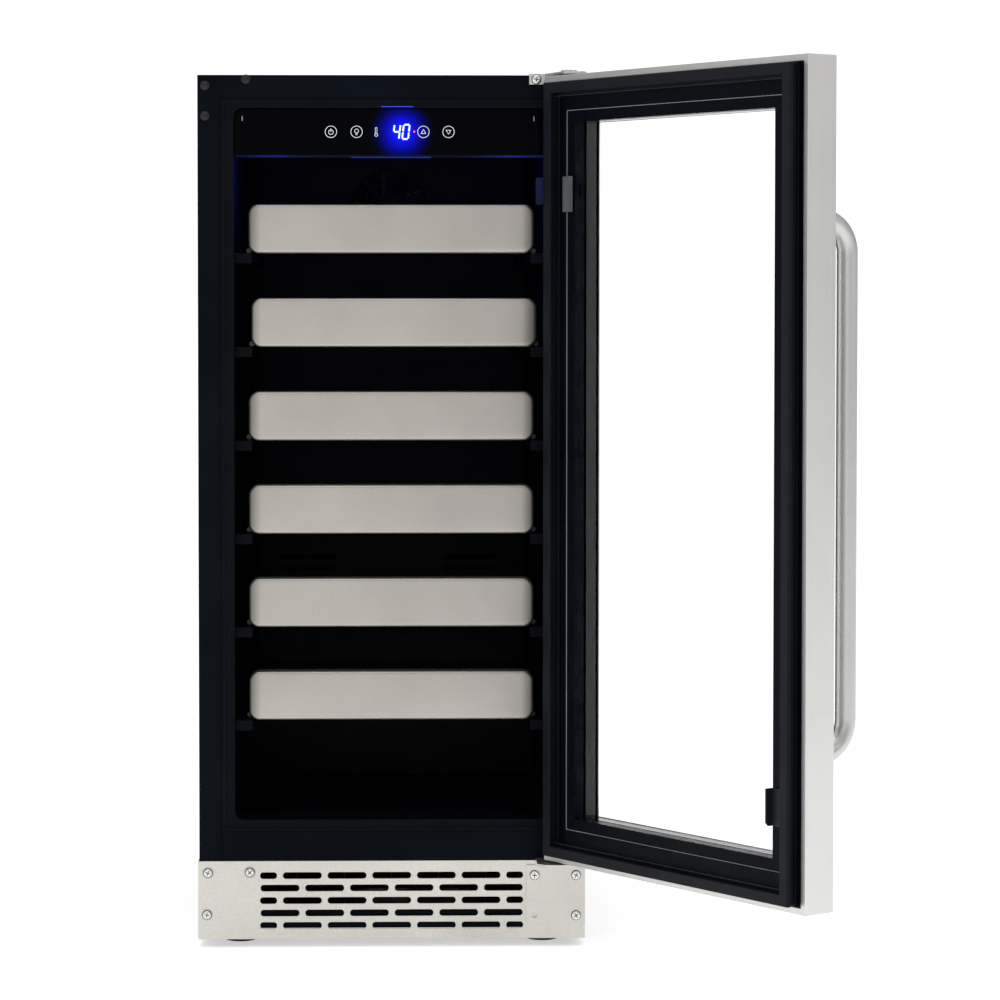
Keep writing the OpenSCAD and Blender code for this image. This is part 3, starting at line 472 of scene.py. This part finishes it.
def moulded(name, light, dark, smoothest, roughest, grain=1500, depth=0.00003, specular=0.3,
            coat=0.0, metallic=0.0):
    material, tree, shader = newMaterial(name)
    node = tree.nodes.new("ShaderNodeGroup")
    node.node_tree = moulding
    node.inputs["Grain"].default_value = grain
    node.inputs["Light"].default_value = (*light, 1)
    node.inputs["Dark"].default_value = (*dark, 1)
    node.inputs["Smoothest"].default_value = smoothest
    node.inputs["Roughest"].default_value = roughest
    tree.links.new(objectVector(tree), node.inputs["Vector"])
    tree.links.new(node.outputs["Color"], shader.inputs["Base Color"])
    tree.links.new(node.outputs["Roughness"], shader.inputs["Roughness"])
    addBump(tree, shader, node.outputs["Height"], depth, 0.4)
    shader.inputs["Specular IOR Level"].default_value = specular
    shader.inputs["Coat Weight"].default_value = coat
    shader.inputs["Coat Roughness"].default_value = 0.12
    shader.inputs["Metallic"].default_value = metallic
    return material


def glow(name, colour, strength):
    material, tree, shader = newMaterial(name)
    fine = addNoise(tree, objectVector(tree), 600.0, 1, 0.5)
    dim = tuple(c * 0.86 for c in colour)
    tree.links.new(addMix(tree, addRange(tree, fine, 0, 1), (*dim, 1), (*colour, 1)),
                   shader.inputs["Emission Color"])
    shader.inputs["Base Color"].default_value = (*[0.3 * c for c in colour], 1)
    shader.inputs["Emission Strength"].default_value = strength
    return material


steelDoor = brushedSteel("brushedDoorSteel", (0.70, 0.695, 0.68), (0.62, 0.615, 0.60), 0.30, 0.38,
                         stretch=(900, 900, 2.0), depth=0.000006)
steelKick = brushedSteel("brushedPlateSteel", (0.68, 0.665, 0.61), (0.52, 0.51, 0.47), 0.30, 0.44)
steelShelf = brushedSteel("brushedShelfSteel", (0.50, 0.475, 0.435), (0.38, 0.36, 0.33), 0.36, 0.48)


def shadeRailEnds(material, start, end, dark):
    # Painted shade: the steel's colour is darkened towards both ends of a rail
    tree = material.node_tree
    shader = tree.nodes["Principled BSDF"]
    colour = shader.inputs["Base Color"].links[0].from_socket
    split = tree.nodes.new("ShaderNodeSeparateXYZ")
    tree.links.new(objectVector(tree), split.inputs[0])
    size = tree.nodes.new("ShaderNodeMath")
    size.operation = "ABSOLUTE"
    tree.links.new(split.outputs["X"], size.inputs[0])
    endShadeMask = addRange(tree, size.outputs[0], 0, 1, start, end)
    tree.links.new(addMix(tree, endShadeMask, colour, dark), shader.inputs["Base Color"])


# painted shade on both ends of each shelf rail
shadeRailEnds(steelShelf, 0.128, 0.1415, (0.10, 0.095, 0.088, 1))
# Darker copies of the shelf steel, painted on the rails' rounding as shade
railShadeSoft = brushedSteel("railSoftEdgeShade", (0.30, 0.285, 0.26), (0.23, 0.22, 0.20), 0.46, 0.56)
railShadeDark = brushedSteel("railDarkEdgeShade", (0.085, 0.080, 0.074), (0.060, 0.057, 0.053), 0.50, 0.60)
steelHandle = brushedSteel("brushedHandleSteel", (0.60, 0.60, 0.585), (0.50, 0.50, 0.49), 0.34,
                           0.42, stretch=(1200, 1200, 2.0), depth=0.000006)
zincSteel = brushedSteel("zincPlatedSteel", (0.62, 0.63, 0.64), (0.44, 0.45, 0.46), 0.28, 0.45,
                         stretch=(60, 60, 60), depth=0.00001)
screwSteel = brushedSteel("screwSteel", (0.78, 0.78, 0.77), (0.60, 0.60, 0.60), 0.16, 0.26,
                          stretch=(300, 300, 300))
washerSteel = brushedSteel("washerSteel", (0.52, 0.51, 0.49), (0.38, 0.375, 0.36), 0.30, 0.42,
                           stretch=(300, 300, 300))
rackWire = brushedSteel("rackWire", (0.060, 0.062, 0.066), (0.035, 0.036, 0.040), 0.26, 0.38,
                        stretch=(90, 4, 90))
finAluminium = brushedSteel("finAluminium", (0.75, 0.77, 0.78), (0.60, 0.62, 0.63), 0.25, 0.4,
                            stretch=(40, 40, 900))
copper = brushedSteel("copperTube", (0.80, 0.48, 0.30), (0.62, 0.34, 0.20), 0.22, 0.38,
                      stretch=(50, 50, 50))
blackPaint = moulded("blackPaint", (0.0026, 0.0045, 0.0090), (0.0010, 0.0018, 0.0040), 0.30, 0.40,
                     grain=1100, specular=0.035)
blackLiner = moulded("blackLiner", (0.0024, 0.0038, 0.0070), (0.0013, 0.0022, 0.0042), 0.34, 0.48,
                     grain=1800, specular=0.05)
blackFrame = moulded("blackDoorFrame", (0.0016, 0.0028, 0.0058), (0.0008, 0.0016, 0.0034), 0.24,
                     0.34, grain=1500, specular=0.05)
blackGloss = moulded("glossyPanel", (0.0008, 0.0011, 0.0022), (0.0005, 0.0007, 0.0014), 0.10,
                     0.16, grain=300, depth=0.000002, specular=0.02)
halo = {"centre": (0.0105, -0.257, 0.7983), "radius": 0.033, "strength": 2.6, "fall": 2.4,
        "colour": (0.003, 0.006, 0.75, 1)}


def addHalo(material):
    # The display's light spreads in the glossy front, brightest behind the number
    tree = material.node_tree
    shader = tree.nodes["Principled BSDF"]
    shape = tree.nodes.new("ShaderNodeTexGradient")
    shape.gradient_type = "SPHERICAL"
    scale = 1 / halo["radius"]
    tree.links.new(objectVector(tree, (scale,) * 3, (0, 0, 0),
                                tuple(-c * scale for c in halo["centre"])),
                   shape.inputs["Vector"])
    fall = tree.nodes.new("ShaderNodeMath")
    fall.operation = "POWER"
    fall.inputs[1].default_value = halo["fall"]
    tree.links.new(shape.outputs["Fac"], fall.inputs[0])
    tree.links.new(addMix(tree, fall.outputs[0], (0, 0, 0, 1), halo["colour"]),
                   shader.inputs["Emission Color"])
    shader.inputs["Emission Strength"].default_value = halo["strength"]


addHalo(blackGloss)
# Light grey and dim grey for painted highlight lines
highlightGrey = moulded("highlightGrey", (0.34, 0.36, 0.39), (0.22, 0.24, 0.27), 0.2, 0.3)
highlightDim = moulded("highlightDim", (0.055, 0.064, 0.080), (0.030, 0.036, 0.048), 0.2, 0.3)
spacerBlack = moulded("glossySpacer", (0.0016, 0.0024, 0.0040), (0.0009, 0.0014, 0.0024), 0.10,
                      0.16, grain=300, depth=0.000002, specular=0.4)
blackPlastic = moulded("blackPlastic", (0.012, 0.013, 0.016), (0.007, 0.008, 0.010), 0.38, 0.55)
plugPlastic = moulded("plugPlastic", (0.0040, 0.0048, 0.0066), (0.0022, 0.0028, 0.0040), 0.20, 0.30,
                      specular=0.35)
greyPlastic = moulded("greyPlastic", (0.105, 0.11, 0.115), (0.07, 0.075, 0.08), 0.35, 0.5)
whiteNylon = moulded("whiteNylon", (0.82, 0.82, 0.79), (0.72, 0.72, 0.69), 0.4, 0.55)
sealRubber = moulded("sealRubber", (0.0050, 0.0068, 0.0105), (0.0026, 0.0038, 0.0062), 0.32, 0.48,
                     grain=900, specular=0.14)
footRubber = moulded("footRubber", (0.025, 0.025, 0.026), (0.014, 0.014, 0.015), 0.6, 0.8)
compressorPaint = moulded("compressorPaint", (0.020, 0.020, 0.022), (0.010, 0.010, 0.011), 0.3,
                          0.42, grain=500)
greyCoat = moulded("greyCoat", (0.36, 0.38, 0.39), (0.29, 0.31, 0.32), 0.35, 0.5, grain=700)
boardGreen = moulded("circuitBoard", (0.03, 0.16, 0.08), (0.02, 0.10, 0.05), 0.3, 0.5, grain=250)
foamTan = moulded("rigidFoam", (0.72, 0.66, 0.45), (0.55, 0.50, 0.33), 0.8, 0.95, grain=350,
                  depth=0.0004)
lensGlow = glow("lampLens", (0.03, 0.08, 0.9), 0.10)
iconGlow = glow("iconLight", (0.92, 0.96, 1.0), 0.9)
digitGlow = glow("digitLight", (0.34, 0.40, 1.0), 3.2)
stripGlow = glow("lightLine", (0.03, 0.04, 1.0), 1.2)
dotGlow = glow("dotLight", (1.0, 0.05, 0.03), 3.0)


def clearGlass(name, tint):
    material, tree, shader = newMaterial(name)
    haze = addNoise(tree, objectVector(tree), 9.0, 3, 0.6)
    tree.links.new(addRange(tree, haze, 0.0, 0.012), shader.inputs["Roughness"])
    shader.inputs["Base Color"].default_value = (*tint, 1)
    shader.inputs["Transmission Weight"].default_value = 1.0
    shader.inputs["IOR"].default_value = 1.05
    return material


paneGlass = clearGlass("paneGlass", (0.985, 0.992, 0.990))

print("materials made")

# ---- shelf rails: hollow, with soft pillow edges ----

rail = {"corner": 0.0100, "pillow": 0.0034, "wall": 0.0013, "depth": 0.019}


def plainBox(node):
    points = [v.co for v in nodes[node].data.vertices]
    return (Vector([min(p[i] for p in points) for i in range(3)]),
            Vector([max(p[i] for p in points) for i in range(3)]))


def makeRail(i):
    low, high = plainBox(f"shelf_{i}_front")
    piece = addBlock(f"rail_{i}", low, high)
    pick(piece, "EDGE", lambda p: abs(p[0].y - p[1].y) > 0.01)
    bpy.ops.mesh.bevel(offset=rail["corner"], segments=8, affect="EDGES")
    endEdit()
    pick(piece, "EDGE", lambda p: all(abs(q.y - low.y) < 1e-5 for q in p))
    bpy.ops.mesh.bevel(offset=rail["pillow"], segments=8, affect="EDGES")
    endEdit()
    pick(piece, "FACE", lambda p, normal: normal.y > 0.99)
    bpy.ops.mesh.inset(thickness=rail["wall"])
    extrude(y=-rail["depth"])
    endEdit()
    finishPiece(piece, f"shelf_{i}", steelShelf, [f"shelf_{i}_front"], 60)
    # painted shade: where the rounding faces the cavity's walls it gets darker copies of the steel,
    # standing in for the dark walls it reflects
    for number, (material, turned) in enumerate(((railShadeSoft, -0.93), (railShadeDark, -0.66)), 1):
        piece.data.materials.append(material)
        for face in piece.data.polygons:
            if face.normal.y > turned and abs(face.normal.x) > abs(face.normal.z):
                face.material_index = number


for i in range(1, 7):
    makeRail(i)
print("rails made")

# ---- screws with a cross recess, on flat washers ----

screws = {"rise": 0.0024, "round": 0.0013, "slot": 0.0009, "cross": 0.0050, "deep": 0.0012,
          "shank": 0.002, "length": 0.009}
# place of each head's underside, in millimetres
hingeScrews = [(141.3, -267.5, 848.8), (180.8, -267.5, 846.6), (140.1, -268.7, 70.7),
               (180.8, -268.7, 70.7), (180.8, -268.7, 31.0)]
kickScrews = [(-180.0, -266.2, 73.5), (-139.0, -266.2, 74.0), (-181.0, -266.2, 32.3)]


def makeScrew(name, head, dimple):
    piece = addRod(name, (0, 0, 0), (0, -1, 0), head, screws["rise"], 40)
    pick(piece, "EDGE", lambda p: all(abs(q.y + screws["rise"]) < 1e-5 for q in p))
    bpy.ops.mesh.bevel(offset=screws["round"], segments=5, affect="EDGES")
    endEdit()
    half, front = screws["cross"] / 2, -screws["rise"]
    for wide, tall in ((half, screws["slot"] / 2), (screws["slot"] / 2, half)):
        cutWith(piece, addBlock("slot", (-wide, front - 0.001, -tall),
                                (wide, front + screws["deep"], tall)))
    paint(piece, screwSteel)
    # Painted shade: black blocks inside the cross recess and a thin black ring around the head's
    # underside stand in for the shade there
    recessShade = [addBlock("recessShade", (-half + 0.0001, front + 0.0004, -screws["slot"] / 2 + 0.0001),
                       (half - 0.0001, front + screws["deep"], screws["slot"] / 2 - 0.0001))]
    recessShade.append(copyPiece(recessShade[0], "recessShade", turn=Matrix.Rotation(math.pi / 2, 4, "Y")))
    recessShade.append(addRod("gap", (0, 0, 0), (0, -1, 0), head + 0.0005, 0.0004, 40))
    for dark in recessShade:
        paint(dark, blackPlastic)
    washer = addRod("washer", (0, 0.0002, 0), (0, -1, 0), dimple, 0.00045, 40)
    shank = addRod("shank", (0, 0, 0), (0, 1, 0), screws["shank"], screws["length"], 20)
    for bright in (washer, shank):
        paint(bright, washerSteel)
    return joinPieces(name, [piece, washer, shank] + recessShade)


def makeScrews(name, node, places, head, dimple, turns):
    first = makeScrew("screw", head, dimple)
    copies = [copyPiece(first, "screw", Vector(p) * mm, Matrix.Rotation(math.radians(a), 4, "Y"))
              for p, a in zip(places, turns)]
    bpy.data.objects.remove(first, do_unlink=True)
    finishPiece(joinPieces(name, copies), "cabinet", None, [node], 40)


makeScrews("hingeScrews", "hinge_screws", hingeScrews, 0.0044, 0.0050, (12, 38, 5, 27, 60))
makeScrews("kickPlateScrews", "kick_plate_screws", kickScrews, 0.0042, 0.0058, (20, 50, 8))
print("screws made")

# ---- signs on the control panel ----

panel = {"z": 0.7983, "power": -0.0588, "bulb": -0.0338, "probe": -0.0147, "up": 0.0314,
         "down": 0.0559, "ring": 0.0056, "line": 0.00024, "digitAt": (0.0016, 0.0106),
         "digitWide": 0.0058, "digitTall": 0.0140, "digitLine": 0.0016, "slant": 0.12,
         "dot": (0.0224, 0.7985), "stripLow": (-0.0098, -0.26525, 0.8221),
         "stripHigh": (0.0216, -0.2649, 0.8227), "clipGlints": (-0.1452, 0.1392)}
# sizes of the marks inside the rings, from a ring's middle
marks = {"powerDrop": 0.0003, "powerRing": 0.0023, "powerBar": 0.0031,
         "bulbRise": 0.0008, "bulbRing": 0.0019, "socketHalf": 0.0009, "sockets": (0.0018, 0.0027),
         "probeDrop": 0.0030, "probeRing": 0.0014, "stemHalf": 0.0008, "stem": (-0.0018, 0.0040),
         "capHalf": 0.0009, "capRise": 0.0041, "tip": 0.0023, "footHalf": 0.0024,
         "footDrop": 0.0016, "clipGlintLow": 0.8088, "clipGlintHigh": 0.8134, "clipGlintWidth": 0.0011,
         "dotRadius": 0.0009}
panelFace = plainBox("control_fascia")[0].y


def addRing(name, x, z, radius, line):
    bpy.ops.object.select_all(action="DESELECT")
    bpy.ops.mesh.primitive_torus_add(location=(x, panelFace, z), rotation=(math.pi / 2, 0, 0),
                                     major_radius=radius, minor_radius=line,
                                     major_segments=48, minor_segments=8)
    piece = bpy.context.object
    piece.name = name
    applyPlace(piece)
    return piece


def addBar(name, start, end, width, thick=0.0003):
    # A flat bar on the panel's face, from start to end in x and z
    (x0, z0), (x1, z1) = start, end
    length = math.hypot(x1 - x0, z1 - z0)
    piece = addBlock(name, (0, -thick, -width / 2), (length, thick, width / 2))
    piece.matrix_world = (Matrix.Translation((x0, panelFace, z0))
                          @ Matrix.Rotation(-math.atan2(z1 - z0, x1 - x0), 4, "Y"))
    applyPlace(piece)
    return piece


def makeSigns():
    z, line = panel["z"], panel["line"]
    parts = [addRing("sign", panel[key], z, panel["ring"], line)
             for key in ("power", "bulb", "up", "down")]
    x = panel["power"]
    parts.append(addRing("sign", x, z - marks["powerDrop"], marks["powerRing"], line))
    parts.append(addBar("sign", (x, z), (x, z + marks["powerBar"]), 2 * line))
    x = panel["bulb"]
    parts.append(addRing("sign", x, z + marks["bulbRise"], marks["bulbRing"], line))
    half = marks["socketHalf"]
    for drop in marks["sockets"]:
        parts.append(addBar("sign", (x - half, z - drop), (x + half, z - drop), 2 * line))
    x = panel["probe"]
    parts.append(addRing("sign", x, z - marks["probeDrop"], marks["probeRing"], line))
    low, high = marks["stem"]
    for side in (-marks["stemHalf"], marks["stemHalf"]):
        parts.append(addBar("sign", (x + side, z + low), (x + side, z + high), 1.6 * line))
    half, cap = marks["capHalf"], z + marks["capRise"]
    parts.append(addBar("sign", (x - half, cap), (x + half, cap), 1.6 * line))
    for key, way in (("up", 1), ("down", -1)):
        x = panel[key]
        tip = (x, z + way * marks["tip"])
        feet = [(x + side * marks["footHalf"], z - way * marks["footDrop"]) for side in (-1, 1)]
        for foot in feet:
            parts.append(addBar("sign", foot, tip, 1.8 * line))
        parts.append(addBar("sign", feet[0], feet[1], 1.8 * line))
    finishPiece(joinPieces("panelSigns", parts), "cabinet", iconGlow)


def makeDigits():
    wide, tall = panel["digitWide"], panel["digitTall"]
    ends = {"a": ((0, 1), (1, 1)), "g": ((0, 0.5), (1, 0.5)), "d": ((0, 0), (1, 0)),
            "f": ((0, 0.5), (0, 1)), "b": ((1, 0.5), (1, 1)), "e": ((0, 0), (0, 0.5)),
            "c": ((1, 0), (1, 0.5))}
    parts = []
    for left, lit in zip(panel["digitAt"], ("fgbc", "abcdef")):
        for key in lit:
            points = []
            for x, z in ends[key]:
                rise = (z - 0.5) * tall
                points.append(Vector((left + x * wide + (z * tall) * panel["slant"],
                                      panel["z"] + rise)))
            along = (points[1] - points[0]).normalized() * panel["digitLine"] * 0.35
            parts.append(addBar("digit", points[0] + along, points[1] - along, panel["digitLine"]))
    finishPiece(joinPieces("panelDigits", parts), "cabinet", digitGlow)
    x, z = panel["dot"]
    dot = addRod("panelDot", (x, panelFace + 0.0002, z), (0, -1, 0), marks["dotRadius"], 0.0005, 20)
    finishPiece(dot, "cabinet", dotGlow)
    strip = addBlock("panelLightLine", panel["stripLow"], panel["stripHigh"])
    finishPiece(strip, "cabinet", stripGlow)
    # Light grey bars at the panel's ends: small clips, drawn with a painted highlight
    clipGlints = [addBar("clip", (x, marks["clipGlintLow"]), (x, marks["clipGlintHigh"]), marks["clipGlintWidth"])
             for x in panel["clipGlints"]]
    finishPiece(joinPieces("panelClipGlints", clipGlints), "cabinet", highlightGrey)


makeSigns()
makeDigits()
print("panel signs made")

# ---- CAD shapes with their edges softened ----

softened = {
    # node: body, edge width, material, slot
    "outer_casing": ("cabinet", 0.0006, blackPaint, "black_paint"),
    "bottom_crossbar": ("cabinet", 0.0004, blackPaint, "black_paint"),
    "inner_liner": ("cabinet", 0.0004, blackLiner, "black_plastic"),
    "kick_plate": ("cabinet", 0.0004, steelKick, "brushed_stainless"),
    "top_hinge_bracket": ("cabinet", 0.0005, zincSteel, "bright_steel"),
    "hole_plugs": ("cabinet", 0.0003, plugPlastic, "black_plastic"),
    "control_fascia": ("cabinet", 0.0008, blackGloss, "gloss_black"),
    "temperature_sensor": ("cabinet", 0.0008, blackPlastic, "black_plastic"),
    "door_frame": ("door", 0.0006, steelDoor, "brushed_stainless"),
    "door_inner_frame": ("door", 0.0003, blackFrame, "black_plastic"),
    "door_gasket": ("door", 0.0004, sealRubber, "seal_rubber"),
    "upper_catch": ("door", 0.0005, greyPlastic, "grey_plastic"),
    "lower_catch": ("door", 0.0005, blackPlastic, "black_plastic"),
}
for node, (body, width, material, slot) in softened.items():
    piece = softEdged(node, node + "_soft", width)
    finishPiece(piece, body, material, [node], 40)
    addModifier(piece, "WEIGHTED_NORMAL", keep_sharp=True, weight=100)
print("edges softened")

# ---- bright lines where the door's inner frame and its seal catch the light ----

doorLow, doorHigh = closedBox("door_frame")
doorInside = closedBox("door_inner_frame")[1].y
lines = {
    # name: in from the door's edge, depth behind the inside face, thickness, material
    "frameHighlight": (0.0344, 0.0006, 0.00028, highlightGrey),
    "revealHighlight": (0.0452, 0.0124, 0.00030, highlightGrey),
    "sealHighlightOuter": (0.0132, -0.0062, 0.00022, highlightDim),
    "sealHighlightInner": (0.0206, -0.0062, 0.00022, highlightDim),
}


def makeDoorHighlight(name, inset, depth, thick, material):
    # A thin frame of round rods carrying a painted highlight line, drawn closed and swung open with
    # the door
    low = (doorLow.x + inset, doorLow.z + inset)
    high = (doorHigh.x - inset, doorHigh.z - inset)
    y = doorInside - depth
    corners = [low, (high[0], low[1]), high, (low[0], high[1])]
    rods = []
    for (x0, z0), (x1, z1) in zip(corners, corners[1:] + corners[:1]):
        length = math.hypot(x1 - x0, z1 - z0)
        rods.append(addRod("line", (x0, y, z0), (x1 - x0, 0, z1 - z0), thick, length, 10))
    piece = joinPieces(name, rods)
    piece.matrix_world = swingOpen
    finishPiece(piece, "door", material)


for name, (inset, depth, thick, material) in lines.items():
    makeDoorHighlight(name, inset, depth, thick, material)
print("door lines made")

# ---- CAD nodes that keep their shape ----

keptFinishes = {
    "back_panel": greyCoat, "machine_cover": blackPaint, "insulation_foam": foamTan,
    "base_pan": blackPaint, "rear_feet": footRubber, "front_left_foot": footRubber,
    "front_right_foot": footRubber, "control_housing": blackPlastic,
    "control_board": boardGreen, "display_module": blackPlastic, "interior_lamp": lensGlow,
    "evaporator_cover": blackLiner, "evaporator": finAluminium,
    "evaporator_fan_motor": blackPlastic, "evaporator_fan_rotor": blackPlastic,
    "condenser": compressorPaint, "condenser_fan_motor": blackPlastic,
    "condenser_fan_rotor": greyPlastic, "compressor": compressorPaint,
    "compressor_grommets": footRubber, "relay_box": blackPlastic, "filter_drier": copper,
    "refrigerant_pipes": copper, "drip_tray": blackPlastic, "drain_tube": greyPlastic,
    "cord_gland": footRubber, "outer_glass": paneGlass, "inner_glass": paneGlass,
    "glass_spacer": spacerBlack, "door_handle": steelHandle, "handle_screws": screwSteel,
    "hinge_bushes": whiteNylon, "bottom_hinge_bracket": steelKick,
}
for i in range(1, 7):
    keptFinishes[f"shelf_{i}_rack"] = rackWire

for node, material in keptFinishes.items():
    paint(nodes[node], material)

makeCamera()
makeLights()
makeStudio()
print("studio made")
